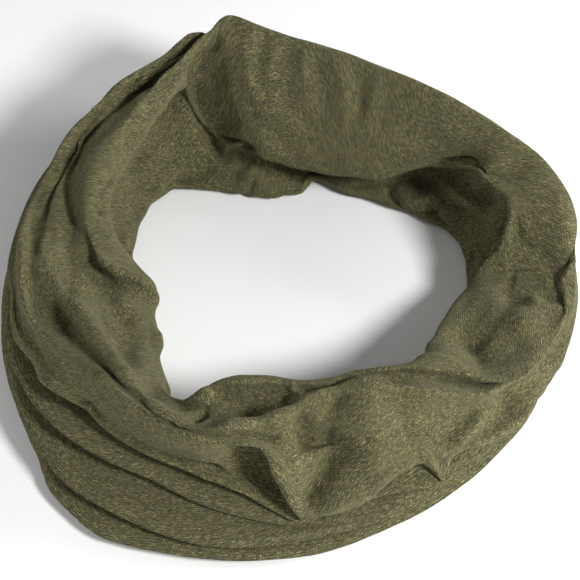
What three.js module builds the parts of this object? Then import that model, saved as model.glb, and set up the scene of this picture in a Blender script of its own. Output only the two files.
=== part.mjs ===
// Neck gaiter: one tube of fine jersey, gathered along its length into a ring that lies on a table.
// Millimetres, +Z up. The origin is on the table under the middle of the ring; -Y is the front.
import * as THREE from 'three';

// Driving dimensions
const FABRIC = 1.2; // thickness of the jersey, nap included
const THREAD = 0.4; // side of an overlock thread's square section
const AIR = 0.3; // gap between a thread and the jersey
const STEPS = 48; // facets round the ring
const FOLDS = 9; // stacked folds from the table up: five point out, the four between them point in
const FOLD_RISE = 1.45; // half the height of a rounded fold
const FOLD_DEPTH = 3; // length of the rounding along each pass of a fold
const RING_X = 3; // centre of the lines below, from the middle of the object's outline
const RING_Y = -0.5;
const HEM_HEIGHT = 1.45; // height of the lower opening's edge above the table
const HEM_WIDTH = 3.6; // from the edge of the jersey to the overlock's needle line
const HEM_LIFT = 6; // length of the jersey that curls up off the table at the lower opening
const HEM_BACK = 6; // how far the upper opening's edge turns back under the inner wall

// Lines round the ring, with a value every 30 degrees from the right (+X) through the back (+Y).
// Radius where the jersey comes off the table to its lower hem:
const TABLE_LINE = [80, 83, 83, 85, 90, 91, 88, 88, 88, 80, 78, 78];
// Radii of the lowest fold that points out and of the lowest that points in:
const LOW_OUT = [93, 95, 95, 98, 103, 105, 104, 105, 105, 96, 90, 91];
const LOW_IN = [70, 79, 73, 72, 81, 80, 67, 67, 70, 66, 66, 67];
// The same for the highest of the stacked folds, and its height:
const HIGH_OUT = [98, 97, 91, 97, 103, 101, 100, 93, 85, 85, 80, 88];
const HIGH_IN = [73, 80, 74, 78, 83, 81, 71, 67, 69, 66, 66, 68];
const STACK_TOP = [27, 30, 30, 30, 30, 28, 27, 27, 27, 24, 25, 26];

// The jersey goes on from there over the top of the ring and down the inside, without a fold:
const OVER_THE_TOP = [
  { // outer shoulder
    radius: [95, 96, 88, 97, 101, 97, 92, 84, 82, 77, 75, 83],
    height: [31, 40, 44, 45, 42, 38, 36, 36, 36, 36, 36, 31],
  },
  { // crest
    radius: [86, 91, 83, 94, 95, 85, 84, 79, 78, 66, 66, 75],
    height: [34, 48.5, 53, 54, 51, 44.5, 39.5, 40.5, 40.5, 42.5, 42, 34.5],
  },
  { // inner shoulder
    radius: [72, 82, 73, 78, 89, 79, 72, 70, 72, 59, 60, 65],
    height: [30, 45, 42, 42, 46, 42, 36, 37, 38, 42.5, 41.5, 33],
  },
  { // upper inner wall
    radius: [64, 77, 64, 64, 84, 74, 60, 60, 66, 55, 55, 57],
    height: [22, 34, 27, 27, 36, 31, 27, 28, 33, 38, 36.5, 28],
  },
  { // lower inner wall
    radius: [61, 73, 62, 60, 76, 70, 55, 57, 62, 54, 54, 55],
    height: [13, 16, 14, 14, 16, 15, 15, 15, 18, 20, 20, 16],
  },
  { // foot of the inner wall
    radius: [60, 69, 62, 58, 71, 68, 55, 57, 63, 56, 56, 56],
    height: Array(12).fill(6),
  },
];

// Periodic Catmull-Rom value of a line at any angle
function along(line, angle) {
  const place = (angle / (2 * Math.PI)) * line.length;
  const first = Math.floor(place);
  const t = place - first;
  const at = (i) => line[(first + i + line.length) % line.length];
  const [a, b, c, d] = [at(-1), at(0), at(1), at(2)];
  return b + 0.5 * t * (c - a + t * (2 * a - 5 * b + 4 * c - d + t * (3 * (b - c) + d - a)));
}

// Middle line of the stacked folds at one angle, as points (radius, height)
function stackedFolds(angle) {
  const points = [];
  const lowest = FABRIC / 2 + FOLD_RISE;
  const highest = along(STACK_TOP, angle);
  for (let fold = 0; fold < FOLDS; fold += 1) {
    const share = fold / (FOLDS - 1);
    const pointsOut = fold % 2 === 0;
    const [low, high] = pointsOut ? [LOW_OUT, HIGH_OUT] : [LOW_IN, HIGH_IN];
    const radius = THREE.MathUtils.lerp(along(low, angle), along(high, angle), share);
    const height = THREE.MathUtils.lerp(lowest, highest, share);
    const shoulder = pointsOut ? radius - FOLD_DEPTH : radius + FOLD_DEPTH;
    points.push(new THREE.Vector2(shoulder, height - FOLD_RISE));
    points.push(new THREE.Vector2(radius, height));
    points.push(new THREE.Vector2(shoulder, height + FOLD_RISE));
  }
  return points;
}

// Middle line of the whole wall at one angle, from the lower opening to the upper one
function wallPath(angle) {
  const table = along(TABLE_LINE, angle);
  const folds = stackedFolds(angle);
  const lowerHem = [
    new THREE.Vector2(table - HEM_LIFT, HEM_HEIGHT),
    new THREE.Vector2(table - HEM_LIFT + HEM_WIDTH, HEM_HEIGHT - 0.2),
  ];
  const onTheTable = [table, table + 2, folds[0].x - 2].map((x) => new THREE.Vector2(x, FABRIC / 2));
  const top = OVER_THE_TOP.map(
    ({ radius, height }) => new THREE.Vector2(along(radius, angle), along(height, angle)),
  );
  const foot = top[top.length - 1];
  const upperHem = [
    new THREE.Vector2(foot.x + 1.2, foot.y - 3),
    new THREE.Vector2(foot.x + HEM_BACK - HEM_WIDTH, foot.y - 4.4),
    new THREE.Vector2(foot.x + HEM_BACK, foot.y - 4.4),
  ];
  return [...lowerHem, ...onTheTable, ...folds, ...top, ...upperHem];
}

// Both faces of the wall at one angle: a closed outline half the fabric away from the middle line
function wallOutline(angle) {
  const path = wallPath(angle);
  const face = (side) => path.map((p, i) => {
    const ahead = path[Math.min(i + 1, path.length - 1)].clone().sub(p).normalize();
    const behind = p.clone().sub(path[Math.max(i - 1, 0)]).normalize();
    const tangent = ahead.add(behind).normalize();
    return new THREE.Vector2(p.x - side * tangent.y, p.y + side * tangent.x);
  });
  return [...face(-FABRIC / 2), ...face(FABRIC / 2).reverse()];
}

// One overlock thread beside a hem, above (+1) or below (-1) the jersey
function threadOutline(angle, opening, inset, side) {
  const path = wallPath(angle);
  const [edge, next] = opening === 'lower' ? [path[0], path[1]] : [path.at(-1), path.at(-2)];
  const inwards = next.clone().sub(edge).normalize();
  const centre = edge.clone().addScaledVector(inwards, inset);
  centre.y += side * (FABRIC / 2 + AIR + THREAD / 2);
  const half = THREAD / 2;
  return [[-half, -half], [half, -half], [half, half], [-half, half]]
    .map(([x, y]) => new THREE.Vector2(centre.x + x, centre.y + y));
}

// Closed body swept round the ring from an outline that changes with the angle
function sweptRing(outlineAt) {
  const positions = [];
  const indices = [];
  const sides = outlineAt(0).length;
  for (let step = 0; step < STEPS; step += 1) {
    const angle = (step / STEPS) * 2 * Math.PI;
    const next = (step + 1) % STEPS;
    outlineAt(angle).forEach(({ x: radius, y: height }, i) => {
      positions.push(RING_X + radius * Math.cos(angle), RING_Y + radius * Math.sin(angle), height);
      const j = (i + 1) % sides;
      const [a, b] = [step * sides + i, step * sides + j];
      const [c, d] = [next * sides + i, next * sides + j];
      indices.push(a, c, b, b, c, d);
    });
  }
  const geometry = new THREE.BufferGeometry();
  geometry.setAttribute('position', new THREE.Float32BufferAttribute(positions, 3));
  geometry.setIndex(indices);
  geometry.computeVertexNormals();
  return geometry;
}

function addMesh(group, name, geometry, color, roughness) {
  const material = new THREE.MeshStandardMaterial({ color, roughness, metalness: 0 });
  const mesh = new THREE.Mesh(geometry, material);
  mesh.name = name;
  group.add(mesh);
}

const JERSEY_COLOR = 0x7d7a4c;
const THREAD_COLOR = 0x74714a;
const HEM_THREADS = [
  { name: 'needle_thread', inset: HEM_WIDTH - 0.6, side: 1 },
  { name: 'upper_looper_thread', inset: 1.2, side: 1 },
  { name: 'lower_looper_thread', inset: 1.2, side: -1 },
];

const gaiter = new THREE.Group();
addMesh(gaiter, 'knit_tube', sweptRing(wallOutline), JERSEY_COLOR, 0.95);
for (const opening of ['lower', 'upper']) {
  for (const { name, inset, side } of HEM_THREADS) {
    const outlineAt = (angle) => threadOutline(angle, opening, inset, side);
    addMesh(gaiter, `${opening}_hem_${name}`, sweptRing(outlineAt), THREAD_COLOR, 0.7);
  }
}

export default gaiter;
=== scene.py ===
"""Neck gaiter: one tube of olive melange jersey, gathered into a ring.

Each of its two openings has an overlocked hem of three threads."""
import math

import bpy
import numpy as np
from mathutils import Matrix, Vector
from mathutils.bvhtree import BVHTree


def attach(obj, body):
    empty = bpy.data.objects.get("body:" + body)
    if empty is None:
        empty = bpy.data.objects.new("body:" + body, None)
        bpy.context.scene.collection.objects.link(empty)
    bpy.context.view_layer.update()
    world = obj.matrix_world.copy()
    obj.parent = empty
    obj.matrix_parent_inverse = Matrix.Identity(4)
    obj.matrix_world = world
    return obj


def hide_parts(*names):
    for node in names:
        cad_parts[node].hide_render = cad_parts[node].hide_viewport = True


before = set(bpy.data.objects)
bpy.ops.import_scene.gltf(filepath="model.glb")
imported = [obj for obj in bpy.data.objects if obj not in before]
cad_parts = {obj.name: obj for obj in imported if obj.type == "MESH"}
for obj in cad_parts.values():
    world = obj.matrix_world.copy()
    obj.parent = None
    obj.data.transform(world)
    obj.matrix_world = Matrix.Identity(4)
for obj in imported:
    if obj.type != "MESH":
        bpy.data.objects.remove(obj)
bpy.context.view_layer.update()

MM = 0.001
RING_CENTRE = np.array([3.0, -0.5, 0.0]) * MM  # the fold lines below are measured from here, on the table

# The jersey: its sheet lying flat, its thickness, its stitches, and the grid that models it
GIRTH = 560 * MM
FABRIC = 0.7 * MM
WALE = 0.85 * MM  # width of a knit stitch, round the tube
COURSE = 0.75 * MM  # its height, along the tube
ROUND = 640
ALONG = 340

# Fold lines round the ring, from the lower opening to the upper one. Each key is
# (angle in degrees from +X through the back, radius in mm, height in mm).
FOLD_LINES = {
    "table": [
        (0, 80, 0.6), (30, 83, 0.6), (60, 83, 0.6), (90, 85, 0.6), (120, 90, 0.6), (150, 91, 0.6),
        (180, 88, 0.6), (210, 88, 0.6), (240, 88, 0.6), (270, 80, 0.6), (300, 78, 0.6), (330, 78, 0.6),
    ],
    "out1": [
        (0, 93, 4), (30, 95, 4), (60, 95, 4), (90, 98, 4), (120, 103, 4), (150, 105, 4), (180, 104, 5),
        (200, 104, 5), (213, 105, 5), (222, 109, 4.5), (232, 109.5, 4.5), (245, 104, 4.5), (260, 98.5, 4),
        (275, 94.5, 4), (293, 90, 4), (318, 89, 4.5), (338, 92, 5),
    ],
    "in1": [
        (0, 68, 7), (20, 74, 7), (30, 77, 7), (50, 75, 7), (60, 73, 7), (75, 71.5, 7), (90, 70, 7),
        (105, 74, 7), (120, 78, 7), (130, 81, 7), (145, 77, 7), (160, 71, 7), (180, 64, 7), (210, 64, 7),
        (230, 70, 7), (240, 67, 7), (270, 63, 6), (300, 63, 6), (330, 65, 7),
    ],
    "out2": [
        (0, 95, 11), (30, 96, 11), (60, 94, 11), (90, 98, 11), (120, 103, 11), (150, 104, 11),
        (180, 104, 11), (205, 104.5, 10.5), (221, 105, 9.5), (235, 102, 9.5), (252, 99, 9),
        (265, 94, 7.5), (280, 89.5, 7), (300, 88.5, 7.5), (322, 89, 9), (340, 92.5, 10),
    ],
    "in2": [
        (0, 68, 14), (10, 75, 14), (20, 81, 14), (30, 81, 14), (40, 81, 14), (50, 80, 14), (60, 76, 14),
        (75, 73.5, 14), (90, 73, 14), (100, 76, 14), (110, 82, 14), (120, 83.5, 14), (130, 83, 14),
        (140, 81, 14), (150, 79, 14), (160, 75, 14), (170, 68, 14), (180, 64, 14), (210, 64, 13),
        (220, 67, 13), (230, 71, 13), (240, 68, 12.3), (250, 65, 11.3), (270, 62, 8.7), (300, 62, 10),
        (330, 65, 11),
    ],
    "out3": [
        (0, 97, 16.5), (30, 96, 19), (60, 92, 20), (90, 97, 20), (120, 103, 20), (150, 104, 18),
        (175, 104, 17), (191, 103, 17), (201, 101, 17), (209, 99, 17), (217, 96, 16.5), (226, 92, 16),
        (240, 87, 14), (258, 87, 11), (271, 88, 9.5), (285, 88.5, 11), (302, 88.5, 11.3),
        (318, 88.3, 11.6), (332, 91.5, 12.8), (345, 95, 15.6),
    ],
    "in3": [
        (0, 77, 18.3), (10, 80.5, 20.3), (20, 86.5, 21.5), (30, 87.5, 22), (40, 88, 22), (50, 82, 22),
        (60, 74, 22), (75, 68, 22), (90, 68, 22), (100, 75, 22), (110, 86, 22), (120, 89.5, 22),
        (130, 87, 22), (140, 84, 21.5), (150, 82, 21), (160, 78, 20.5), (170, 68, 20), (180, 62, 20),
        (200, 62, 19.5), (215, 66, 19), (230, 72, 17.7), (240, 70, 16.5), (250, 65, 15), (260, 62, 13),
        (270, 61, 11), (285, 61, 12.8), (300, 61, 13.2), (330, 66, 14.5),
    ],
    "out4": [
        (0, 99, 20.6), (12, 99, 24.3), (30, 97, 28), (60, 91, 28), (90, 97, 28), (120, 103, 28),
        (150, 103, 27), (165, 102, 27), (177, 101, 26.5), (185, 98.5, 26), (193, 98.5, 25),
        (201, 94.5, 25), (204, 94.2, 24), (208.5, 93, 26.5), (212, 91, 27), (216, 87.8, 24),
        (227, 85, 22), (235, 83, 21), (247, 81, 19), (257, 81, 16.5), (265, 84, 13), (271, 87, 11.4),
        (275, 86, 12), (280, 84.5, 12.5), (289, 83, 13.4), (296, 85.2, 13.8), (303, 87.3, 12.8),
        (308, 86, 13.6), (315, 86.5, 13.8), (320, 87.5, 13.8), (326, 88.5, 14), (333, 89.5, 14.6),
        (345, 94.5, 18.9),
    ],
    "in4": [
        (0, 98.9, 21.6), (15, 98.8, 27), (30, 96.4, 31), (60, 90.3, 31), (90, 97.3, 30.5),
        (104, 103.4, 31), (112, 102.9, 37), (120, 101.9, 38.5), (131, 100.8, 37), (144, 99.8, 35),
        (160, 98, 34), (173, 97.8, 33.8), (180, 96.2, 33.2), (191, 94.2, 32.2), (201, 90.4, 31.8),
        (210, 87.2, 33), (217, 84.4, 33), (230, 81.6, 31.5), (241, 80.8, 30.5), (247, 80, 29.5),
        (252, 76.5, 28), (257, 67.5, 25), (262, 65.5, 22.5), (266, 69, 19), (269, 78, 15),
        (271, 86.2, 12.4), (275, 84.5, 12.9), (280, 82.6, 13.8), (289, 79.4, 15.4), (294, 78.6, 17.4),
        (299, 78.4, 19), (302, 80.5, 17.2), (303.5, 86, 13.3), (305.5, 82, 15.8), (309, 79.3, 17.2),
        (315, 80.5, 16), (320, 82, 15.2), (326, 85.5, 14.9), (333, 88.5, 15.5), (345, 95.3, 20.1),
    ],
    "out5": [
        (0, 98.8, 22.6), (15, 98.5, 28.5), (30, 95.5, 34), (60, 89, 34), (90, 97, 33), (104, 103, 36),
        (108, 102.6, 46), (110, 102.4, 49.5), (112, 102.5, 50), (115, 101, 49), (120, 100, 47),
        (131, 98.5, 45), (144, 98, 42), (156, 96, 40.5), (163, 95.5, 40), (173, 95.5, 40),
        (180, 94.5, 38.5), (191, 93.5, 38), (201, 89, 38), (210, 83.5, 39.5), (217, 80.5, 40.5),
        (231, 79.5, 40.5), (241, 80, 40), (247, 79, 40.5), (257, 77, 40.5), (261, 76, 38.5),
        (264, 77, 34.5), (266, 80, 29), (267.5, 82, 23.5), (269, 84.5, 18.5), (271, 88, 13.5),
        (275, 86.8, 13.6), (280, 85.5, 14.6), (286, 83.6, 14.6), (289.5, 82, 17), (293, 81, 19.5),
        (298.5, 80.7, 22), (301, 82, 21.5), (302.5, 85, 17.5), (303.5, 88.3, 13.2), (305, 86, 16),
        (308, 83.4, 19), (311, 83.5, 19), (315, 85.8, 17.5), (320, 88.7, 16.5), (325, 91.8, 16),
        (333, 93, 16.3), (345, 96.3, 21.4),
    ],
    "in5": [
        (0, 98.3, 24.2), (15, 98, 30), (30, 95, 37), (60, 88, 38), (90, 95, 37), (104, 102, 39.5),
        (108, 100.6, 45.5), (112, 99, 46.5), (120, 97.5, 44), (131, 97, 42.5), (144, 95.5, 38.5),
        (150, 92.5, 36.5), (160, 91.5, 36), (170, 92, 37), (180, 91, 36.5), (190, 88.5, 35),
        (200, 82.5, 35.5), (210, 78.5, 36.5), (220, 76.5, 38.5), (232, 77.5, 39), (245, 77.5, 39.5),
        (255, 74, 39), (262, 72, 37), (268, 72, 34), (275, 72, 32.5), (290, 70, 34), (305, 72, 33),
        (318, 78, 27), (330, 84, 23.5), (345, 93.5, 23.1),
    ],
    "out6": [
        (0, 98, 25.7), (15, 98, 32), (30, 94, 40), (60, 87, 42), (90, 95, 42), (104, 103, 42),
        (112, 98, 47.8), (120, 96.5, 44.5), (131, 95.5, 42.5), (144, 95, 38.8), (150, 91, 38.5),
        (160, 90, 38.5), (170, 88.5, 38.5), (180, 86, 38.5), (189, 80.5, 38.5), (199, 75, 39.5),
        (208, 73.5, 40), (220, 73.5, 41), (232, 76, 41), (241, 77.5, 41), (247, 76, 41), (255, 70, 41.5),
        (263, 65, 42), (271, 60, 42.5), (280, 57.5, 43), (291, 58, 43.5), (301, 64, 43), (310, 72, 40.5),
        (317, 79, 36.5), (321, 82, 34.5), (330, 83.5, 28), (345, 91.5, 24.8),
    ],
    "in6": [
        (0, 97.4, 27.1), (15, 98, 34), (30, 92, 44), (60, 86, 46), (90, 94, 47), (104, 103, 47),
        (112, 97.5, 48.5), (120, 96, 43), (131, 94.5, 41), (138, 95, 38), (144, 94.5, 36), (150, 90, 37),
        (156, 86.5, 38), (162, 82.5, 37.5), (169, 78, 36.5), (175, 73, 34.5), (183, 68.5, 30.5),
        (190, 67.5, 28), (200, 67, 30), (215, 65, 32), (230, 67, 33.5), (240, 68, 34), (247, 65, 35),
        (255, 60, 37), (265, 56, 38), (275, 54.5, 39.5), (290, 55, 40), (305, 59.5, 39.5), (313, 66, 36),
        (320, 72, 31), (330, 77.5, 25.5), (345, 89, 25.5),
    ],
    "crest": [
        (0, 96.8, 28.9), (3, 98, 29.5), (11, 98.5, 37), (18, 97.5, 42), (24, 95, 46), (34, 87.5, 50),
        (44, 82.5, 52), (56, 80, 53), (68, 80.5, 53.5), (79, 82.5, 54), (89, 88.5, 54), (98, 96, 54.5),
        (104, 103.5, 54.5), (108, 100, 53.5), (112, 96.5, 52.5), (115, 93.5, 51.5), (122, 89, 50),
        (130, 85.5, 48), (140, 82, 46), (150, 79, 44), (160, 77, 42.5), (168, 74.5, 40), (174, 71, 37),
        (179, 67, 34), (183, 61, 30), (188, 57, 27.5), (194, 57, 27), (200, 58, 27), (215, 60.5, 29),
        (226, 65, 31), (235, 67, 34), (242, 61.5, 40), (251, 56.5, 42), (261, 53.5, 41.5),
        (275, 53.5, 42), (290, 53.5, 42.5), (305, 57.5, 41.5), (312, 63, 41), (318, 70, 39),
        (322, 79.5, 37), (328, 87, 34), (340, 90, 28.5), (350, 94, 27),
    ],
    "panel": [
        (4, 79.5, 24.5), (10, 84, 32.5), (14, 86.5, 38.5), (18, 86, 41.5), (28, 82, 45.5), (36, 81, 42.5),
        (42, 78, 40.5), (47, 75, 40), (58, 67, 39.5), (68, 65, 39.5), (84, 66.5, 40), (94, 71.5, 41),
        (102, 79, 42.5), (106, 83.5, 41), (109, 87.5, 36), (112, 91, 31.5), (114.5, 94, 29.5),
        (116, 93.5, 36), (117, 90.5, 46), (122, 87, 45), (132, 81.5, 42.5), (142, 77.5, 40.5),
        (152, 75.5, 39), (162, 71, 36), (170, 64.5, 32), (178, 58, 28.5), (186, 52, 24.5), (196, 53, 25),
        (210, 56.5, 26), (224, 62, 28), (231, 66, 30.5), (237, 65.5, 34.5), (243, 58.5, 39.5),
        (250, 54.5, 41.5), (258, 51.5, 41.5), (270, 52, 41.5), (285, 52, 42), (300, 54, 41),
        (308, 57.5, 40), (314, 60.5, 39.5), (319, 63.5, 37.5), (324, 69, 35.5), (330, 71, 33),
        (340, 71.5, 29), (352, 75, 25.5),
    ],
    "lip": [
        (0, 58, 16.5), (5, 62, 15), (9, 69, 23), (12, 75.5, 32), (16, 78.5, 38), (20, 78.5, 39.5),
        (24, 76, 39.5), (29, 73, 40), (33, 75, 35.5), (37, 78.5, 30), (42, 76, 26), (47, 73, 24),
        (58, 59.5, 21.5), (65, 56, 21), (72, 54, 21), (80, 53.5, 21.5), (88, 54.5, 22), (96, 57, 23),
        (102, 59.5, 24), (108, 67, 22.5), (111.5, 75, 19), (114, 82, 20), (115.3, 87, 25),
        (116.5, 90.5, 33), (116.6, 90, 39), (120, 88.5, 39), (124, 85.5, 38), (129, 82.5, 36.5),
        (135, 79, 35), (144, 76, 33.5), (155, 73.5, 31.5), (163, 67.5, 26.5), (170, 58, 21.5),
        (177, 50.5, 19.5), (183, 48.5, 19.5), (190, 50, 21), (198, 50.5, 22.5), (206, 53, 23),
        (215, 56.5, 24), (226, 61.5, 25.5), (232, 66.5, 28), (236, 66, 32), (240, 60, 36), (245, 55, 39),
        (251, 52, 40.5), (261, 50, 40.5), (275, 51.5, 40.5), (290, 51, 41), (300, 53, 39.5),
        (305, 54.5, 38.5), (314, 57, 36), (320, 55.5, 32), (330, 53, 28), (339, 52, 25), (348, 54, 21),
    ],
    "tuck": [
        (0, 62, 11), (8, 66, 9.5), (13, 75.5, 18), (18, 83, 28), (24, 84.5, 32), (30, 84.5, 32),
        (36, 84, 25.5), (47, 80, 19), (58, 72, 16), (72, 70, 15.5), (88, 70, 16), (98, 65, 18),
        (107, 70, 17.5), (112, 75, 16), (115.3, 86, 21), (116.6, 92, 31.5), (120, 93, 34),
        (129, 89, 31.5), (135, 86, 30), (144, 83.5, 28), (155, 80, 25), (163, 73, 19.5), (170, 63, 14),
        (177, 56, 13), (186, 55, 13), (200, 56, 15), (215, 60, 17), (226, 65, 18), (235, 69, 23),
        (242, 64, 29), (251, 57, 31), (261, 55, 31), (275, 56, 31), (290, 56, 31), (305, 59, 30),
        (314, 61, 27), (320, 60, 23), (330, 58, 18), (339, 57, 16), (350, 58, 13),
    ],
    "wall": [
        (0, 62, 7), (10, 66, 8), (20, 75, 16), (30, 77, 17), (47, 74, 11), (60, 70, 9.5), (72, 68, 9.5),
        (88, 66, 9.5), (103, 61.5, 12), (111, 69.5, 11.5), (120, 82, 18), (129, 80, 17), (144, 76, 14),
        (155, 72, 12), (165, 63, 9), (177, 55, 8), (190, 54, 8), (205, 56, 9), (220, 60, 9),
        (232, 66, 10), (245, 61, 14), (260, 56, 16), (275, 56, 16), (290, 56, 16), (305, 59, 15),
        (320, 60, 12), (340, 58, 9),
    ],
    "foot": [
        (0, 62.5, 4), (10, 64, 4.5), (21, 67, 4.5), (30, 70, 4.5), (36, 67.5, 4.5), (51, 63, 4.5),
        (70, 61, 4.5), (84, 63.5, 4.5), (86, 60, 4.5), (88, 57.5, 4.5), (96, 55.5, 4.5), (104, 58, 4.5),
        (110, 61.5, 4.5), (118, 68, 4.5), (124, 72.5, 5), (129, 75.5, 5), (136, 75, 5.5), (141, 72, 6),
        (147, 69.5, 7), (155, 66, 7), (165, 60, 6), (177, 55, 5), (190, 54, 4.5), (205, 56, 4.5),
        (220, 60, 4.5), (232, 65, 4.5), (245, 60, 4.5), (260, 57, 4.5), (275, 57, 4.5), (290, 57, 4.5),
        (305, 59, 4.5), (320, 60, 4.5), (340, 58, 4.5),
    ],
}

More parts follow.
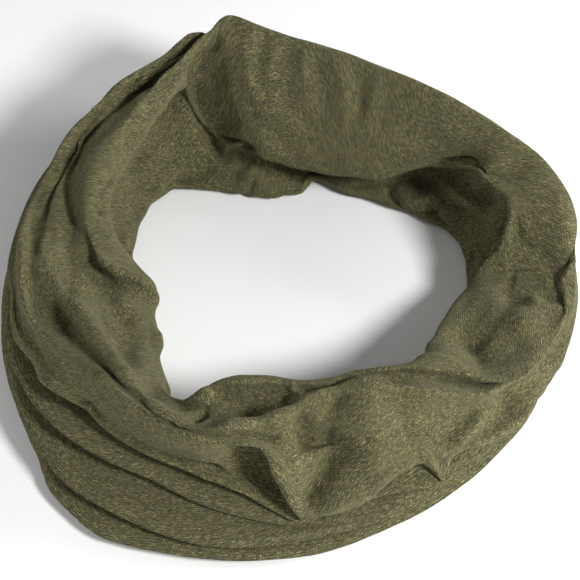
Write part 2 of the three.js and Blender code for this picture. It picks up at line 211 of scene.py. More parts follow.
# Creases pressed into the sheet: height in mm (sunk when negative), half width in mm, and the keys of the
# line, each (angle in degrees, level). A level counts the fold lines from the lower opening. The keys were
# looked up on the finished sheet by a separate script, as were most keys of the fold line "panel".
CREASES = [
    # upper left
    (-4.5, 2.4, [(114, 13.05), (118, 12.85), (123, 12.75), (127, 11.65), (132, 11.25)]),
    (-7.5, 2.2, [(108, 13.25), (110, 13.4), (112, 13.5), (113, 13.65)]),
    (-7.5, 1.9, [(117, 15.85), (120, 16.3), (124, 16.45), (129, 16.5), (133, 16.55), (139, 16.6)]),
    (-4.5, 2, [(150, 14.6), (155, 14.2), (159, 13.7)]),
    (-5, 2, [(162, 13.5), (162, 13.8), (162, 14)]),
    (2, 3, [(111, 13.25), (116, 13.55), (123, 14.15), (131, 14.05), (138, 14.05)]),
    (-2.7, 4, [(126, 12.75), (128, 13.15), (129, 13.25)]),
    (-2.7, 5, [(135, 13.05), (139, 13.5), (143, 14.1)]),
    (3.4, 9, [(148, 12.75), (154, 12.75), (159, 13.15)]),
    (2.4, 4, [(103, 13.45), (102, 13.65), (101, 13.95), (102, 14.25)]),
    (-2, 3, [(103, 14.1), (103, 14.35), (104, 14.5)]),
    (-3.6, 1.8, [(129, 18), (125, 17.8), (120, 17.65), (116, 17.4)]),
    (3.6, 2, [(135, 17.8), (132, 17.45), (128, 17.35), (123, 17.35)]),
    (-3.1, 5, [(138, 16.95), (141, 17.25), (147, 17.6)]),
    # left
    (-3.2, 2, [(153, 11), (156, 11.3), (160, 11.6), (164, 11.75), (168, 11.85), (173, 11.65),
        (180, 11.5), (185, 11.4), (190, 11.2)]),
    (-3.2, 1.5, [(185, 11.4), (191, 11.15)]),
    (-2.5, 1.8, [(160, 9.35), (164, 9.5), (168, 9.75), (174, 9.95), (178, 10.15)]),
    (-2, 5, [(171, 11.05), (174, 11.35), (177, 11.45)]),
    (3.6, 2.4, [(190, 11), (194, 10.95), (200, 10.9), (207, 10.95), (215, 11.05), (223, 10.9),
        (231, 10.95)]),
    (-3.6, 4, [(190, 10.35), (194, 10.35), (198, 10.2), (202, 10.1)]),
    (-3, 6, [(187, 11.7), (185, 12.05), (185, 12.7), (186, 13.45)]),
    (-3.3, 5, [(170, 12.55), (174, 12.4), (178, 12.1), (182, 12.35), (184, 12.85)]),
    (4.5, 2.6, [(176, 12.75), (179, 13.05), (181, 13.35), (182, 13.75), (183, 14.1), (186, 14.35)]),
    (3.2, 6, [(195, 11.65), (191, 12.3), (193, 12.65)]),
    (-2, 2, [(197, 12.2), (198, 12.5), (197, 12.85)]),
    (-4.1, 5, [(203, 12.15), (210, 11.9), (218, 11.4)]),
    (-4.2, 4, [(225, 11.1), (228, 11.3), (228, 11.8)]),
    (2, 1.6, [(153, 17.4), (155, 17.45), (158, 17.45)]),
    (-3.2, 2, [(156, 17.75), (158, 17.75)]),
    (2, 1.4, [(202, 14.85), (208, 14.95), (212, 14.95)]),
    # band A and left stack
    (3.2, 1.8, [(180, 7.2), (186, 7.15), (191, 7.15), (196, 7.2), (200, 7.15), (204, 7.15),
        (209, 7.1), (213, 7.05)]),
    (-1.2, 4, [(191, 9.5), (198, 9.35), (206, 8.9), (213, 8.5)]),
    (-6, 2, [(211, 5.4), (213, 5.4), (217, 7.05), (219, 7.05)]),
    # front left
    (-4.9, 2, [(248, 7.5), (251, 7.25), (254, 7.15)]),
    (-1.6, 2.5, [(254, 8.55), (253, 7.95), (253, 7.7)]),
    (-1.8, 4, [(241, 7.1), (244, 7.2), (248, 7.25)]),
    (2.2, 2.6, [(263, 9.2), (265, 9.25), (268, 9.35), (270, 9.3), (271, 9.25)]),
    (-2, 5, [(258, 7.5), (262, 7.45), (265, 7.35)]),
    (-7.5, 2.4, [(271, 10.55), (272, 10.3), (273, 10.05), (273, 9.9)]),
    (-5.5, 2.6, [(274, 10.15), (279, 10.1), (282, 9.9), (285, 9.75)]),
    (-6.4, 3.2, [(284, 9.75), (279, 9.7), (275, 9.55), (273, 9.4), (272, 9.25)]),
    (-7.5, 7.5, [(276, 10.05), (280, 9.9)]),
    (2.9, 8, [(292, 9.95), (290, 9.7), (288, 9.5)]),
    (2.8, 5, [(293, 10.7), (290, 10.4), (287, 10.2)]),
    (-2.2, 5, [(298, 10.6), (299, 10.25), (299, 9.75)]),
    (-4.3, 4, [(284, 10.9), (283, 10.7), (280, 10.5)]),
    (2.6, 1.5, [(272, 9.2), (277, 9.25), (284, 9.25), (288, 9.25), (292, 9.25)]),
    (-4, 1.6, [(280, 5.15), (285, 5.2), (290, 5.25)]),
    (1.9, 3, [(265, 10.4), (268, 10.1), (270, 9.9), (271, 9.65)]),
    (2.4, 3, [(243, 12.9), (242, 12.4), (242, 11.65)]),
    (-4.5, 1.3, [(243, 12.35), (243, 12), (244, 11.4)]),
    (-3.2, 1.8, [(243, 12.8), (247, 12.7), (252, 12.45), (255, 12.3)]),
    (-5, 6, [(251, 12.25), (256, 11.95), (260, 11.25)]),
    (-3.2, 3, [(265, 12.65), (267, 11.85), (267, 11.25)]),
    (2.4, 1.5, [(267, 12.95), (269, 12.4), (271, 11.35)]),
    (3.4, 2.2, [(249, 10.8), (253, 10.9), (258, 10.85), (265, 10.75), (270, 10.65)]),
    (-3, 1.8, [(254, 9.7), (260, 9.9), (266, 10.3)]),
    # front right
    (-2.4, 5, [(299, 11.9), (303, 11.7), (307, 11.9)]),
    (2.4, 1.6, [(273, 11.1), (278, 11), (285, 11.15), (291, 10.95), (297, 10.9), (302, 10.85),
        (306, 10.8), (311, 10.8)]),
    (1.8, 4, [(323, 9.85), (324, 9.65), (324, 9.5)]),
    (-3.9, 4, [(327, 9.8), (327, 9.55), (327, 9.4)]),
    (4.5, 1.8, [(320, 9.85), (316, 9.6), (312, 9.4), (308, 9.25)]),
    (3, 1.7, [(328, 9.15), (324, 9.25), (320, 9.2), (315, 9.2), (310, 9.1)]),
    (-5, 1.8, [(310, 7.25), (312, 7.2), (314, 7.1)]),
    (-2.5, 3, [(324, 9.95), (324, 9.55), (325, 9.3)]),
    # right
    (-7, 8, [(340, 14.45), (334, 14.2), (329, 13.9)]),
    (-2.4, 5, [(340, 13.6), (336, 13.45)]),
    (-2.9, 4, [(326, 13.7), (328, 13.5), (331, 13.4)]),
    (3.6, 7, [(351, 13.9), (344, 13.65), (339, 13.55)]),
    (1.8, 7, [(331, 14.65), (319, 14.25)]),
    (-4.5, 3, [(5, 14), (2, 14.05), (-0, 14.1)]),
    (-2.5, 4, [(358, 14.2), (355, 14.05), (352, 14)]),
    (3.6, 1.8, [(355, 13.75), (352, 13.6), (352, 13.4), (352, 13.2)]),
    (-6, 8, [(1, 13.55), (-2, 13.45), (-5, 13.35)]),
    (-3.6, 1.8, [(4, 13.15), (0, 13.1), (-4, 12.75)]),
    (-5, 2.2, [(15, 14.85), (11, 14.45), (8, 14), (6, 13.8)]),
    (-4, 1.8, [(6, 13.8), (6, 13.7), (4, 13.6)]),
    (3.1, 5, [(17, 13.4), (12, 13.35), (7, 13.3)]),
    (-2.8, 3.2, [(28, 14.6), (25, 14.4), (25, 13.95), (25, 13.5)]),
    (-1.6, 4, [(23, 14.5), (22, 14.1), (24, 13.6)]),
    (-6.5, 3.6, [(18, 16.6), (17, 16.75)]),
    (-5, 3, [(21, 17.5), (18, 17.35)]),
    # back panel
    (1.7, 3, [(100, 13.2), (100, 13.5), (101, 13.7), (102, 14), (102, 14.25)]),
    (-2.6, 2.6, [(97, 13.1), (98, 13.45), (100, 13.75), (100, 14.05)]),
    (1.4, 4, [(95, 13.25), (96, 13.55), (97, 13.85), (97, 14.2)]),
    (-1.5, 3.4, [(92, 13.2), (92, 13.5), (93, 13.8), (92, 14.05)]),
    (2.2, 2.8, [(87, 13.15), (87, 13.45), (87, 13.65), (86, 13.9)]),
    (-1.7, 3, [(85, 13.15), (84, 13.4), (82, 13.65), (80, 13.95)]),
    (1.9, 3.2, [(79, 13.2), (76, 13.5), (75, 13.8), (72, 14.1)]),
    (-2.6, 2.6, [(74, 13.2), (71, 13.5), (70, 13.75), (70, 14.05)]),
    (1.4, 3, [(68, 13.35), (67, 13.65), (66, 14.05)]),
    (-1.2, 3, [(64, 13.4), (63, 13.7), (62, 14.05)]),
    (-1.4, 5, [(83, 14), (81, 14.3)]),
    (-1, 6, [(89, 13.65), (86, 14)]),
    (1.4, 9, [(48, 13.4), (44, 13.75)]),
    # inner wall, right back
    (-6, 1.9, [(112, 14.85), (110, 14.85), (107, 15), (104, 15.05)]),
    (-5.5, 2, [(114, 15.6), (114, 16.55), (115, 17.15)]),
    (-5, 1.8, [(96, 16.8), (83, 17.7), (71, 17.55), (62, 17.3)]),
    (-4.1, 2, [(60, 17.2), (56, 16.95), (52, 16.95), (45, 17)]),
    (-6, 2.6, [(47, 14.9), (40, 14.75), (29, 14.65), (25, 14.3)]),
    (-6, 1.6, [(60, 17.35), (55, 17.65), (51, 17.9), (47, 18.15), (44, 17.85), (42, 17.65), (40, 17.3)]),
    (4.5, 2.2, [(58, 17.3), (53, 17.55), (49, 17.65), (45, 17.45), (43, 17.15)]),
    (-3.6, 1.6, [(41, 17.65), (37, 17.8), (34, 18.05)]),
    (-6, 2, [(43, 16.5), (35, 16.75), (27, 16.75)]),
    (4.5, 2.6, [(42, 16.8), (35, 17), (29, 16.95)]),
    (-4.2, 2.2, [(43, 17.1), (33, 17.2), (26, 16.95)]),
    (-4, 2, [(34, 16.45), (29, 16.6), (25, 16.6)]),
    (-3.5, 1.8, [(104, 16.25), (106, 16.6), (108, 16.95)]),
    (-2.2, 1.6, [(104, 16.45), (102, 16.9), (95, 17.35)]),
    (-1.5, 4, [(99, 17.65), (92, 17.85), (87, 17.85)]),
]

TURN = 2 * math.pi  # once round, in radians

# The folds proper, which turn the jersey back on itself with a round edge
ROUND_FOLDS = ("out1", "in1", "out2", "in2", "out3", "in3", "out4")
FOLD_DEPTH = 2.6  # mm along each pass that the rounding takes
FOLD_RISE = 0.35  # of the height to the next fold line, up or down
LEAST_RISE = 0.2  # mm
MOST_RISE = 1.2  # mm
FOLD_LEVEL = 0.2  # levels that the rounding takes on each side
CREST_LEVEL = 13  # of the fold line "crest", where the wrinkles are measured from
TOP_LEVEL = 6.8  # above the stack of pleats, where the sheet shows and its grid is finer
STACK_ROWS = 0.4  # rows for a length of sheet inside the stack, against one where it shows
ROW_BLUR = 24  # columns of the sheet's grid, so that the rows of stitches don't wave with the folds

# How the folds of the stack stray from their lines
WANDER_OUT = 3.5  # mm
WANDER_UP = 1.2  # mm
WANDER_MOST = 60  # degrees round the ring, where they stray the most
WANDER_LOBES = (3, 5, 7, 11)
WANDER_SEED = 21

# How a crease fades: along its line, to the levels beyond it, and to its sides
CREASE_STEP = 0.4  # half widths between the points where it is pressed
END_FADE = 0.3  # of its length, at each end
END_LEAST = 0.12  # where the fade starts from, out of 1
LEVEL_REACH = 1.2  # levels beyond the line
LEVEL_FADE = 0.6  # the last of them, where it weakens
SIDE_REACH = 3  # degrees for each mm of half width
SIDE_FALL = 1.4  # powers of e that it weakens by in each half width
BLUNT = 0.35  # half widths over which its middle is round

# How a crease keeps clear of the sheet's other layers
LEAST_LIFT = 0.2  # mm that a crease moves the sheet before the next layer is looked for
RAY_START = 0.15 * MM
RAY_REACH = 3  # times the lift
FREE_SHARE = 0.5  # of the space up to the next layer, since both layers may move
LAYER_GAP = 0.4  # mm taken off that share

# Shallow wrinkles
RIPPLES = 60
RIPPLE_SIZE = 0.3  # mm
RIPPLE_WIDTHS = (6, 22)  # mm
RIPPLE_LOBES = 16  # round the ring, at most
RIPPLE_FADE = 2  # levels above the stack where they reach their full height
RIPPLE_LEAST = 0.2  # of it, inside the stack
RIPPLE_SEED = 4

# The hems: (outward, up) in mm from the first fold line to the lower edge, and from the last to the upper
LOWER_EDGE = ((-6.0, 0.9), (-3.0, 0.5))
UPPER_EDGE = ((1.2, -2.4), (6.0, -2.9))
TABLE_GAP = 0.5 * MM  # from the table to the middle of the jersey
HEM_GAP = 1.0 * MM  # the same at a hem, with a looper thread underneath
GAP_ROWS = 6  # of the sheet's grid that keep it
HEM_ROWS = 16  # of the sheet's grid, enough to hold the hem
FACE_ROW = 2  # of those, the one whose face the threads lie on
HEM_WIDTH = 3.0 * MM  # from the edge of the jersey to the needle's line
LOOPER_EDGE = 0.1  # of the hem's width, where a looper turns by the edge
LOOPER_SWING = 0.75  # of it, from there to the other turn
THREAD = 0.4 * MM
THREAD_SIDES = 6
THREAD_GAP = 0.05 * MM  # from the jersey's face
THREAD_BOB = 0.04 * MM  # up and down along a stitch
STITCHES = 220  # round a hem
STITCH_POINTS = 6

# The studio: place in metres, size in metres and power in watts of each light
LIGHTS = {
    "key": ((0.65, -0.45, 0.7), 0.25, 12),
    "right": ((1.0, 0.1, 0.35), 0.4, 8),
    "left": ((-1.0, 0.0, 0.35), 0.4, 3.5),
    "front": ((0.0, -1.0, 0.12), 0.5, 4),
}
LIGHT_AIM = Vector((0, 0, 0.02))
WORLD_STRENGTH = 0.22
FLOOR_HALF = 3.0
CAMERA_TILT = math.radians(54)
CAMERA_DISTANCE = 0.585
CAMERA_TARGET = Vector((0.001, -0.0005, 0.020))
SENSOR = 36  # mm
LENS = 103.1  # mm


def smooth_keys(keys, column, angles):
    """Monotone cubic through the keys of a fold line, once round."""
    table = np.array(sorted(keys), float)
    x = np.concatenate([table[-3:, 0] - 360, table[:, 0], table[:3, 0] + 360])
    y = np.concatenate([table[-3:, column], table[:, column], table[:3, column]])
    step = np.diff(x)
    slope = np.diff(y) / step
    rising = slope[:-1] * slope[1:] > 0
    before = 2 * step[1:] + step[:-1]
    after = step[1:] + 2 * step[:-1]
    with np.errstate(divide="ignore", invalid="ignore"):
        mean = (before + after) / (before / slope[:-1] + after / slope[1:])
    tangent = np.zeros_like(y)
    tangent[1:-1] = np.where(rising, mean, 0)
    i = np.clip(np.searchsorted(x, angles, side="right") - 1, 0, len(step) - 1)
    t = (angles - x[i]) / step[i]
    return (
        y[i] * (1 + 2 * t) * (1 - t) ** 2
        + step[i] * tangent[i] * t * (1 - t) ** 2
        + y[i + 1] * t * t * (3 - 2 * t)
        + step[i] * tangent[i + 1] * t * t * (t - 1)
    )


def wander(fold, angles):
    """How far a fold of the stack strays in and out, and up and down, in mm: most at the back and right."""
    rng = np.random.default_rng(WANDER_SEED + fold)
    turn = np.radians(angles)
    sway = np.zeros_like(turn)
    for lobes in WANDER_LOBES:
        sway += np.cos(lobes * turn + rng.uniform(0, TURN)) / lobes
    climb = np.cos(4 * turn) / 2 + np.cos(7 * turn + 1) / 3
    where = 0.5 + 0.5 * np.cos(turn - math.radians(WANDER_MOST))
    return where[:, None] * np.stack([WANDER_OUT * sway, WANDER_UP * climb], -1)


def control_rows(angles):
    """The wall's section at every angle: rows of points (radius, height), and the level of each row."""
    line = {n: np.stack([smooth_keys(k, c, angles) for c in (1, 2)], -1) for n, k in FOLD_LINES.items()}
    names = list(FOLD_LINES)
    for i, name in enumerate(ROUND_FOLDS):
        line[name] = line[name] + wander(i, angles)
    rows = [line["table"] + step for step in LOWER_EDGE] + [line["table"]]
    levels = [-1, -0.5, 0]
    for i, name in enumerate(names[1:], start=1):
        point = line[name]
        if name in ROUND_FOLDS:
            inward = -FOLD_DEPTH if name.startswith("out") else FOLD_DEPTH
            below = np.clip(FOLD_RISE * (point[:, 1] - line[names[i - 1]][:, 1]), LEAST_RISE, MOST_RISE)
            above = np.clip(FOLD_RISE * (line[names[i + 1]][:, 1] - point[:, 1]), LEAST_RISE, MOST_RISE)
            turn = [np.stack([np.full_like(rise, inward), rise], -1) for rise in (-below, above)]
            rows += [point + turn[0], point, point + turn[1]]
            levels += [i - FOLD_LEVEL, i, i + FOLD_LEVEL]
        else:
            rows.append(point)
            levels.append(i)
    rows += [line["foot"] + step for step in UPPER_EDGE]
    levels += [len(names) - 0.5, len(names)]
    return np.array(rows), np.array(levels, float)


def spread_along(rows, levels, count):
    """Centripetal Catmull-Rom through the rows, at count places: denser where the sheet is seen.

    Returns the points and the level of each place."""
    chord = np.linalg.norm(np.diff(rows, axis=0), axis=-1)
    mean = chord.mean(axis=1)
    knots = np.concatenate([[0], np.cumsum(mean)])
    share = chord.max(axis=1) * np.where(levels[1:] > TOP_LEVEL, 1.0, STACK_ROWS)
    places = np.concatenate([[0], np.cumsum(share)])
    wanted = np.interp(np.linspace(0, places[-1], count), places, knots)
    seg = np.clip(np.searchsorted(knots, wanted, side="right") - 1, 0, len(mean) - 1)
    t = ((wanted - knots[seg]) / mean[seg])[:, None, None]
    padded = np.concatenate([2 * rows[:1] - rows[1:2], rows, 2 * rows[-1:] - rows[-2:-1]])
    p0, p1, p2, p3 = (padded[seg + k] for k in range(4))
    d = [np.sqrt(np.maximum(np.linalg.norm(b - a, axis=-1, keepdims=True), 1e-4))
         for a, b in ((p0, p1), (p1, p2), (p2, p3))]
    m1 = ((p1 - p0) / d[0] - (p2 - p0) / (d[0] + d[1]) + (p2 - p1) / d[1]) * d[1]
    m2 = ((p2 - p1) / d[1] - (p3 - p1) / (d[1] + d[2]) + (p3 - p2) / d[2]) * d[1]
    section = (
        p1 * (1 + 2 * t) * (1 - t) ** 2 + m1 * t * (1 - t) ** 2
        + p2 * t * t * (3 - 2 * t) + m2 * t * t * (t - 1)
    )
    return section, np.interp(wanted, knots, levels)


def outward(grid):
    """Unit normals on the tube's outer face."""
    up = np.gradient(grid, axis=0)
    round_ring = np.roll(grid, -1, axis=1) - np.roll(grid, 1, axis=1)
    normal = np.cross(round_ring, up)
    return normal / np.linalg.norm(normal, axis=-1, keepdims=True)


def soften(field, passes):
    """The field averaged with its neighbours on the grid, so many times."""
    for _ in range(passes):
        field = (np.roll(field, 1, axis=1) + field + np.roll(field, -1, axis=1)) / 3
        padded = np.concatenate([field[:1], field, field[-1:]])
        field = (padded[:-2] + padded[1:-1] + padded[2:]) / 3
    return field


def face_corners(along, around):
    """Row and column of each corner of the grid's quads, where the last column is the first one again."""
    i, j = np.meshgrid(np.arange(along - 1), np.arange(around), indexing="ij")
    return np.stack([i, i, i + 1, i + 1], -1), np.stack([j, j + 1, j + 1, j], -1)


def within_reach(grid, normal, lift):
    """The lift in mm, cut back to a share of the free space before the next layer of the sheet."""
    row, column = face_corners(*grid.shape[:2])
    faces = (row * ROUND + column % ROUND).reshape(-1, 4)
    layers = BVHTree.FromPolygons(grid.reshape(-1, 3).tolist(), faces.tolist())
    allowed = lift.copy()
    for i, j in np.argwhere(np.abs(lift) > LEAST_LIFT):
        side = math.copysign(1, lift[i, j])
        way = Vector(normal[i, j] * side)
        start = Vector(grid[i, j]) + RAY_START * way
        gap = layers.ray_cast(start, way, RAY_REACH * abs(lift[i, j]) * MM)[3]
        if gap is not None:
            allowed[i, j] = side * min(abs(lift[i, j]), max(FREE_SHARE * gap / MM - LAYER_GAP, 0))
    return allowed


def crease_path(grid, level, width, keys):
    """Rows and columns of the grid along a crease, and its strength at each of them."""
    turn, climb = np.array(keys, float).T
    column = turn / 360 * ROUND
    row = np.interp(climb, level, np.arange(len(level)))
    corners = grid[np.rint(row).astype(int), np.rint(column).astype(int) % ROUND]
    path = np.concatenate([[0], np.cumsum(np.linalg.norm(np.diff(corners, axis=0), axis=-1))]) / MM
    walk = np.linspace(0, path[-1], 3 + int(path[-1] / (CREASE_STEP * width)))
    rows = np.rint(np.interp(walk, path, row)).astype(int)
    columns = np.rint(np.interp(walk, path, column)).astype(int) % ROUND
    fade = np.clip(np.minimum(walk, path[-1] - walk) / (END_FADE * path[-1]), END_LEAST, 1)
    return rows, columns, fade * (2 - fade)


def crease_area(level, angles, width, keys):
    """The part of the grid that a crease can reach, and how much of it each row takes."""
    turn, climb = np.array(keys, float).T
    beyond = np.maximum(climb.min() - level, level - climb.max())
    near = beyond < LEVEL_REACH
    taken = np.clip((LEVEL_REACH - beyond[near]) / LEVEL_FADE, 0, 1)[:, None]
    offset = (angles - (turn.min() + turn.max()) / 2 + 180) % 360 - 180
    beside = np.abs(offset) < (turn.max() - turn.min()) / 2 + SIDE_REACH * width
    return np.ix_(near, beside), taken


def press_creases(grid, level, angles):
    """Raise or sink the sheet along each crease, most in the middle of its line."""
    normal = soften(outward(grid), 2)
    lift = np.zeros(grid.shape[:2])
    for height, width, keys in CREASES:
        area, taken = crease_area(level, angles, width, keys)
        patch = grid[area]
        best = np.zeros(patch.shape[:2])
        for i, j, strength in zip(*crease_path(grid, level, width, keys)):
            distance = np.linalg.norm(patch - grid[i, j], axis=-1) / (width * MM)
            best = np.maximum(best, strength * np.exp(SIDE_FALL * (BLUNT - np.hypot(distance, BLUNT))))
        lift[area] += height * taken * best
    lift = soften(within_reach(grid, normal, soften(lift, 1)), 1)
    return grid + lift[..., None] * normal * MM


def wall_climb(grid):
    """Distance along the wall from its first row, in metres, at every point."""
    steps = np.linalg.norm(np.diff(grid, axis=0), axis=-1)
    return np.concatenate([np.zeros((1, grid.shape[1])), np.cumsum(steps, axis=0)])


def ripple(grid, level, angles):
    """Shallow wrinkles that run mostly round the ring, as a sum of long-crested waves."""
    rng = np.random.default_rng(RIPPLE_SEED)
    climb = wall_climb(grid) / MM
    climb -= climb[np.searchsorted(level, CREST_LEVEL)]
    turn = np.radians(angles)
    height = np.zeros(grid.shape[:2])
    for _ in range(RIPPLES):
        across = rng.uniform(*RIPPLE_WIDTHS)
        lobes = rng.integers(-RIPPLE_LOBES, RIPPLE_LOBES + 1)
        start = rng.uniform(0, TURN)
        height += across / RIPPLE_WIDTHS[1] * np.cos(lobes * turn + TURN * climb / across + start)
    seen = np.clip((level - TOP_LEVEL) / RIPPLE_FADE, RIPPLE_LEAST, 1)[:, None]
    size = RIPPLE_SIZE * MM * height * seen / height.std()
    return grid + size[..., None] * outward(grid)


def tube_grid():
    """Points of the sheet, in metres, as an array (along, round, xyz)."""
    angles = np.arange(ROUND) * 360 / ROUND
    section, level = spread_along(*control_rows(angles), ALONG)
    turn = np.radians(angles)
    radius, height = section[..., 0], section[..., 1]
    grid = np.stack([radius * np.cos(turn), radius * np.sin(turn), height], -1) * MM
    grid = press_creases(ripple(grid, level, angles), level, angles)
    least = np.full((ALONG, 1), TABLE_GAP)
    least[:GAP_ROWS] = least[-GAP_ROWS:] = HEM_GAP
    grid[..., 2] = np.maximum(grid[..., 2], least)
    return grid + RING_CENTRE


def smooth_object(name, points, faces):
    """An object with a smooth mesh of these points and quads."""
    mesh = bpy.data.meshes.new(name)
    mesh.from_pydata(points.reshape(-1, 3), [], faces.reshape(-1, 4).tolist())
    mesh.polygons.foreach_set("use_smooth", np.ones(len(mesh.polygons), bool))
    obj = bpy.data.objects.new(name, mesh)
    bpy.context.collection.objects.link(obj)
    return obj


def tube_object(name, grid):
    """The sheet, closed round the ring. Its UV map is in metres: round the tube, and along it."""
    row, column = face_corners(ALONG, ROUND)
    tube = smooth_object(name, grid, row * ROUND + column % ROUND)
    climb = wall_climb(grid)
    blur = range(-ROW_BLUR, ROW_BLUR + 1)
    climb = sum(np.roll(climb, shift, axis=1) for shift in blur) / len(blur)
    place = np.stack([column * GIRTH / ROUND, climb[row, column % ROUND]], -1)
    tube.data.uv_layers.new(name="sheet").data.foreach_set("uv", place.ravel())
    return tube


def hem_points(strip, column, inset, lift):
    """Points over a hem's strip of grid: so far in from its edge, and so far above its upper face.

    The columns are fractional. The face's unit normal comes back with the points."""
    left = np.floor(column).astype(int) % ROUND
    share = (column % 1)[:, None]
    columns = strip[:, left] * (1 - share) + strip[:, (left + 1) % ROUND] * share
    climb = wall_climb(columns)
    points = []
    for i, depth in enumerate(inset):
        points.append([np.interp(depth, climb[:, i], columns[:, i, axis]) for axis in range(3)])
    face = outward(strip)[FACE_ROW, left]
    face *= np.sign(face[:, 2:])
    return np.array(points) + lift * face, face


def thread_object(name, path, face):
    """A closed thread along a path, which keeps one side to the jersey."""
    along = np.roll(path, -1, axis=0) - np.roll(path, 1, axis=0)
    beside = np.cross(along, face)
    beside /= np.linalg.norm(beside, axis=1, keepdims=True)
    turn = np.arange(THREAD_SIDES) * TURN / THREAD_SIDES
    ring = np.cos(turn)[None, :, None] * beside[:, None] + np.sin(turn)[None, :, None] * face[:, None]
    i, j = np.meshgrid(np.arange(len(path)), np.arange(THREAD_SIDES), indexing="ij")
    ahead, nxt = (i + 1) % len(path), (j + 1) % THREAD_SIDES
    corners = [(i, j), (ahead, j), (ahead, nxt), (i, nxt)]
    faces = np.stack([a * THREAD_SIDES + b for a, b in corners], -1)
    return smooth_object(name, path[:, None] + THREAD / 2 * ring, faces)


def overlock(opening, strip, material):
    """The three threads of an overlocked hem: a straight needle line, and a looper zigzag on each face."""
    step = np.arange(STITCHES * STITCH_POINTS) / STITCH_POINTS
    column = step * ROUND / STITCHES
    zigzag = 0.5 - 0.5 * np.cos(TURN * step)
    looper = (LOOPER_EDGE + LOOPER_SWING * zigzag) * HEM_WIDTH
    lift = FABRIC / 2 + THREAD / 2 + THREAD_GAP
    threads = {
        "needle_thread": (np.full_like(step, HEM_WIDTH), lift),
        "upper_looper_thread": (looper, lift),
        "lower_looper_thread": (looper, -lift),
    }
    pieces = []
    for name, (inset, height) in threads.items():
        bobbing = height + THREAD_BOB * np.cos(2 * TURN * step)
        path, face = hem_points(strip, column, inset, bobbing[:, None])
        piece = thread_object(f"{opening}_{name}", path, face)
        piece.data.materials.append(material)
        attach(piece, "root")
        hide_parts(f"{opening}_hem_{name}")
        pieces.append(piece)
    return pieces


def node_adder(material):
    """A function that adds a node to the material, and links or sets its inputs."""
    tree = material.node_tree

    def add(kind, inputs=None, **settings):
        node = tree.nodes.new(kind)
        for key, value in settings.items():
            setattr(node, key, value)
        for key, value in (inputs or {}).items():
            if isinstance(value, bpy.types.NodeSocket):
                tree.links.new(value, node.inputs[key])
            else:
                node.inputs[key].default_value = value
        return node

    return add


def stitch_height(add, u, v):
    """Height of the knit from 0 to 1: rows of V-shaped stitches, with a shallow groove beside each wale."""
    column = add("ShaderNodeMath", {0: u, 1: WALE}, operation="DIVIDE").outputs[0]
    across = add("ShaderNodeMath", {0: column, 1: 0.5}, operation="PINGPONG").outputs[0]
    row = add("ShaderNodeMath", {0: v, 1: COURSE}, operation="DIVIDE").outputs[0]
    slanted = add("ShaderNodeMath", {0: row, 1: across}, operation="ADD").outputs[0]
    phase = add("ShaderNodeMath", {0: slanted, 1: TURN}, operation="MULTIPLY").outputs[0]
    wave = add("ShaderNodeMath", {0: phase}, operation="COSINE").outputs[0]
    yarn = add("ShaderNodeMapRange", {"Value": wave, "From Min": -1.0, "To Max": 0.65}).outputs[0]
    groove = add("ShaderNodeMapRange", {"Value": across, "From Max": 0.3, "To Max": 0.35},
                 interpolation_type="SMOOTHSTEP").outputs[0]
    return add("ShaderNodeMath", {0: yarn, 1: groove}, operation="ADD").outputs[0]


def stitch_speckle(add, sheet):
    """A random value and a random colour for each short run of yarn."""
    cell = add("ShaderNodeVectorMath", {0: sheet, 1: (WALE, COURSE / 2, 1)}, operation="SNAP").outputs[0]
    scaled = add("ShaderNodeVectorMath", {0: cell, 1: (1 / MM, 1 / MM, 1)}, operation="MULTIPLY").outputs[0]
    return add("ShaderNodeTexWhiteNoise", {"Vector": scaled}).outputs


def stretched_noise(add, u, v, width, height, detail, offset=0.0):
    """Noise in patches width by height on the flat sheet."""
    place = add("ShaderNodeCombineXYZ", {"X": u, "Y": v, "Z": offset}).outputs[0]
    scale = (1 / width, 1 / height, 1.0)
    scaled = add("ShaderNodeVectorMath", {0: place, 1: scale}, operation="MULTIPLY").outputs[0]
    noise = add("ShaderNodeTexNoise", {"Vector": scaled, "Scale": 1.0, "Detail": detail, "Roughness": 0.6})
    return noise.outputs["Fac"]


def ramp(add, value, stops):
    """A colour ramp with these stops, each (place, colour)."""
    node = add("ShaderNodeValToRGB", {"Fac": value})
    elements = node.color_ramp.elements
    while len(elements) < len(stops):
        elements.new(0.5)
    for element, (place, colour) in zip(elements, stops):
        element.position = place
        element.color = (*colour, 1)
    return node.outputs["Color"]


def blend_colours(add, mode, factor, a, b):
    """Colour b laid over colour a. Each is a node's output or a plain colour."""
    node = add("ShaderNodeMix", {"Factor": factor}, data_type="RGBA", blend_type=mode)
    for socket, value in (("A_Color", a), ("B_Color", b)):
        place = next(s for s in node.inputs if s.identifier == socket)
        if isinstance(value, bpy.types.NodeSocket):
            node.id_data.links.new(value, place)
        else:
            place.default_value = (*value, 1)
    return next(s for s in node.outputs if s.identifier == "Result_Color")


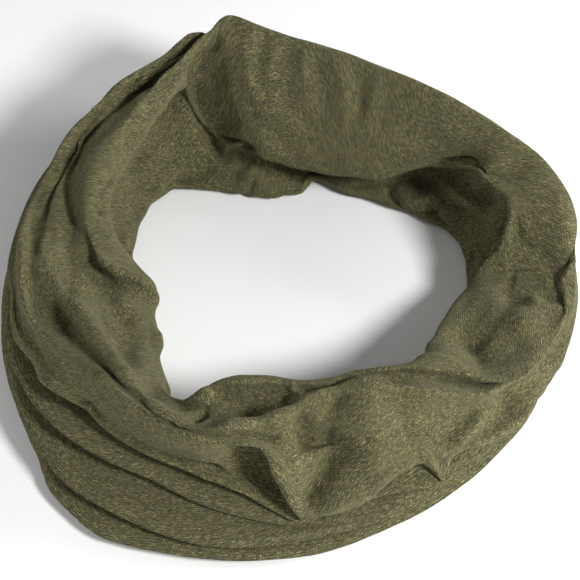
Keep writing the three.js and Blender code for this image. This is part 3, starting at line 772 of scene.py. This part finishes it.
def jersey_material():
    """Melange jersey: stitches in relief with painted shade in the hollows between them, fibres of two dyes,
    slubs, and a soft nap.
    """
    material = bpy.data.materials.new("jersey")
    material.use_nodes = True
    add = node_adder(material)
    shader = material.node_tree.nodes["Principled BSDF"]
    sheet = add("ShaderNodeUVMap", uv_map="sheet").outputs[0]
    axes = add("ShaderNodeSeparateXYZ", {0: sheet})
    u, v = axes.outputs["X"], axes.outputs["Y"]

    stitch = stitch_height(add, u, v)
    fibres = stretched_noise(add, u, v, 1.8 * MM, 0.5 * MM, 3.0)
    melange = ramp(add, fibres, [
        (0.30, (0.046, 0.044, 0.024)),
        (0.46, (0.093, 0.088, 0.044)),
        (0.58, (0.128, 0.121, 0.060)),
        (0.74, (0.225, 0.211, 0.128)),
    ])
    slubs = stretched_noise(add, u, v, 14 * MM, 5 * MM, 3.0, offset=7.0)
    tone = ramp(add, slubs, [(0.3, (0.86, 0.87, 0.88)), (0.7, (1.10, 1.09, 1.06))])
    shaded = blend_colours(add, "MULTIPLY", 1.0, melange, tone)
    run = stitch_speckle(add, sheet)
    speckle = ramp(add, run["Value"], [
        (0.0, (0.68, 0.69, 0.70)),
        (0.6, (1.00, 1.00, 0.99)),
        (1.0, (1.46, 1.44, 1.42)),
    ])
    shaded = blend_colours(add, "MULTIPLY", 1.0, shaded, speckle)
    shaded = blend_colours(add, "OVERLAY", 0.08, shaded, run["Color"])
    # Painted shade in the hollows between the stitches, and a slight painted highlight on the yarn's tops,
    # both following the stitch height.
    stitch_gap_shade = ramp(add, stitch, [(0.15, (0.45, 0.44, 0.40)), (0.75, (1.12, 1.12, 1.12))])
    colour = blend_colours(add, "MULTIPLY", 1.0, shaded, stitch_gap_shade)
    material.node_tree.links.new(colour, shader.inputs["Base Color"])

    nap = stretched_noise(add, u, v, 0.5 * MM, 0.4 * MM, 3.0, offset=3.0)
    relief = add("ShaderNodeMath", {0: nap, 1: 0.6, 2: stitch}, operation="MULTIPLY_ADD").outputs[0]
    bump = add("ShaderNodeBump", {"Height": relief, "Distance": 0.25 * MM, "Strength": 0.7})
    material.node_tree.links.new(bump.outputs[0], shader.inputs["Normal"])
    shader.inputs["Roughness"].default_value = 0.95
    shader.inputs["Specular IOR Level"].default_value = 0.15
    shader.inputs["Sheen Weight"].default_value = 0.12
    shader.inputs["Sheen Roughness"].default_value = 0.45
    shader.inputs["Sheen Tint"].default_value = (0.85, 0.85, 0.52, 1)
    return material


def thread_material():
    """Spun polyester thread, a shade darker than the jersey: noise for the tone of its plies and for its
    fuzz.
    """
    material = bpy.data.materials.new("overlock_thread")
    material.use_nodes = True
    shader = material.node_tree.nodes["Principled BSDF"]
    add = node_adder(material)
    place = add("ShaderNodeTexCoord").outputs["Object"]
    plies = add("ShaderNodeTexNoise", {"Vector": place, "Scale": 0.5 / THREAD, "Detail": 1.0}).outputs["Fac"]
    fuzz = add("ShaderNodeTexNoise", {"Vector": place, "Scale": 4 / THREAD, "Detail": 3.0}).outputs["Fac"]
    tone = ramp(add, plies, [(0.35, (0.060, 0.056, 0.030)), (0.65, (0.105, 0.098, 0.054))])
    speck = ramp(add, fuzz, [(0.3, (0.80, 0.80, 0.78)), (0.7, (1.15, 1.15, 1.12))])
    colour = blend_colours(add, "MULTIPLY", 1.0, tone, speck)
    material.node_tree.links.new(colour, shader.inputs["Base Color"])
    relief = add("ShaderNodeMath", {0: plies, 1: fuzz}, operation="ADD").outputs[0]
    bump = add("ShaderNodeBump", {"Height": relief, "Distance": 0.1 * THREAD, "Strength": 0.8})
    material.node_tree.links.new(bump.outputs[0], shader.inputs["Normal"])
    shader.inputs["Roughness"].default_value = 0.6
    shader.inputs["Specular IOR Level"].default_value = 0.3
    shader.inputs["Sheen Weight"].default_value = 0.15
    return material


def make_floor():
    mesh = bpy.data.meshes.new("floor")
    corners = [(x * FLOOR_HALF, y * FLOOR_HALF, 0) for x, y in ((-1, -1), (1, -1), (1, 1), (-1, 1))]
    mesh.from_pydata(corners, [], [(0, 1, 2, 3)])
    floor = bpy.data.objects.new("floor", mesh)
    bpy.context.collection.objects.link(floor)
    material = bpy.data.materials.new("floor")
    material.use_nodes = True
    shader = material.node_tree.nodes["Principled BSDF"]
    shader.inputs["Base Color"].default_value = (0.9, 0.9, 0.9, 1)
    shader.inputs["Roughness"].default_value = 0.8
    mesh.materials.append(material)


def area_light(name, place, size, power):
    light = bpy.data.lights.new(name, "AREA")
    light.shape = "DISK"
    light.size = size
    light.energy = power
    obj = bpy.data.objects.new(name, light)
    obj.location = place
    obj.rotation_euler = (LIGHT_AIM - Vector(place)).to_track_quat("-Z", "Y").to_euler()
    bpy.context.collection.objects.link(obj)


def make_world():
    world = bpy.data.worlds.new("studio")
    world.use_nodes = True
    background = world.node_tree.nodes["Background"]
    background.inputs["Color"].default_value = (1, 1, 1, 1)
    background.inputs["Strength"].default_value = WORLD_STRENGTH
    bpy.context.scene.world = world
    bpy.context.scene.view_settings.view_transform = "Standard"


def make_camera():
    data = bpy.data.cameras.new("camera")
    data.sensor_width = SENSOR
    data.lens = LENS
    camera = bpy.data.objects.new("camera", data)
    away = Vector((0, -math.cos(CAMERA_TILT), math.sin(CAMERA_TILT)))
    camera.location = CAMERA_TARGET + CAMERA_DISTANCE * away
    camera.rotation_euler = (CAMERA_TARGET - camera.location).to_track_quat("-Z", "Y").to_euler()
    bpy.context.collection.objects.link(camera)
    bpy.context.scene.camera = camera


sheet = tube_grid()
tube = tube_object("gaiter_tube", sheet)
tube.data.materials.append(jersey_material())
solid = tube.modifiers.new("thickness", "SOLIDIFY")
solid.thickness = FABRIC
solid.offset = 0
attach(tube, "root")
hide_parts("knit_tube")
thread = thread_material()
hems = overlock("lower", sheet[:HEM_ROWS], thread) + overlock("upper", sheet[::-1][:HEM_ROWS], thread)

make_floor()
for name, (place, size, power) in LIGHTS.items():
    area_light(name, place, size, power)
make_world()
make_camera()
